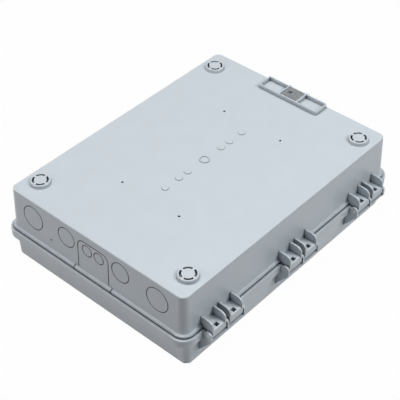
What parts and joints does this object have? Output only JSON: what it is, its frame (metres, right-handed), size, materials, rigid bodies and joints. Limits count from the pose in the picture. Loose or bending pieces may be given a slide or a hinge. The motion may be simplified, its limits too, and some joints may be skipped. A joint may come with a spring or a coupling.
{
  "type": "fiber optic terminal box",
  "caption": "Grey wall-mount fibre terminal box lying on its hinged cover, with break-out cable entries, side hook hinges, swing latches and a splice and adapter interior.",
  "frame": {"origin": "middle of the cover's flat front face, which the box lies on", "axes": "+Z out of the back of the box, +X towards the hinges, +Y along the long side towards the hanging frame, -Y towards the cable entries"},
  "size_m": [0.32, 0.3976, 0.1136],
  "materials": {
    "shell_plastic": "satin moulded, light blue-grey",
    "cover_plastic": "satin moulded, light blue-grey",
    "latch_plastic": "satin moulded, light blue-grey",
    "seal_foam": "black foam",
    "pin_steel": "drawn steel",
    "plate_steel": "galvanised sheet",
    "screw_steel": "zinc plated",
    "tray_plastic": "satin off-white",
    "pad_rubber": "mid-grey grained rubber",
    "comb_rubber": "black rubber",
    "clear_plastic": "clear",
    "nut_plastic": "black nylon",
    "adapter_plastic": "green",
    "cap_plastic": "white",
    "clamp_plastic": "black nylon",
    "clip_plastic": "natural nylon",
    "module_plastic": "light grey"
  },
  "bodies": {
    "case": {"housing": "shell_plastic", "entry_insert": "shell_plastic", "hanger_pad": "pad_rubber", "mounting_plate": "plate_steel", "plate_screws": "screw_steel", "splice_tray_1": "tray_plastic", "splice_comb_1": "comb_rubber", "splice_tray_2": "tray_plastic", "splice_comb_2": "comb_rubber", "tray_spacer": "nut_plastic", "tray_lid": "clear_plastic", "tray_stud": "screw_steel", "wing_nut": "nut_plastic", "adapter_bracket": "plate_steel", "bracket_screws": "screw_steel", "fibre_adapters": "adapter_plastic", "dust_caps": "cap_plastic", "clamp_rail": "plate_steel", "rail_screws": "screw_steel", "cable_clamp_1": "clamp_plastic", "cable_clamp_2": "clamp_plastic", "cable_clamp_3": "clamp_plastic", "clamp_screws": "screw_steel", "fibre_clips": "clip_plastic", "splitter_module": "module_plastic"},
    "door": {"cover": "cover_plastic", "cover_gasket": "seal_foam", "hinge_rod_1": "pin_steel", "hinge_rod_2": "pin_steel", "hinge_rod_3": "pin_steel", "latch_pin_1": "pin_steel", "latch_pin_2": "pin_steel"},
    "swing_latch_1": {"latch_1": "latch_plastic"},
    "swing_latch_2": {"latch_2": "latch_plastic"}
  },
  "joints": [
    {"name": "cover_hinge", "type": "hinge", "parent": "case", "child": "door", "pos_m": [0.1555, 0, 0.0446], "axis": [0, -1, 0], "range_deg": [0, 105]},
    {"name": "latch_1_pivot", "type": "hinge", "parent": "door", "child": "swing_latch_1", "pos_m": [-0.1542, -0.095, 0.0412], "axis": [0, 1, 0], "range_deg": [0, 180]},
    {"name": "latch_2_pivot", "type": "hinge", "parent": "door", "child": "swing_latch_2", "pos_m": [-0.1542, 0.095, 0.0412], "axis": [0, 1, 0], "range_deg": [0, 180]}
  ]
}
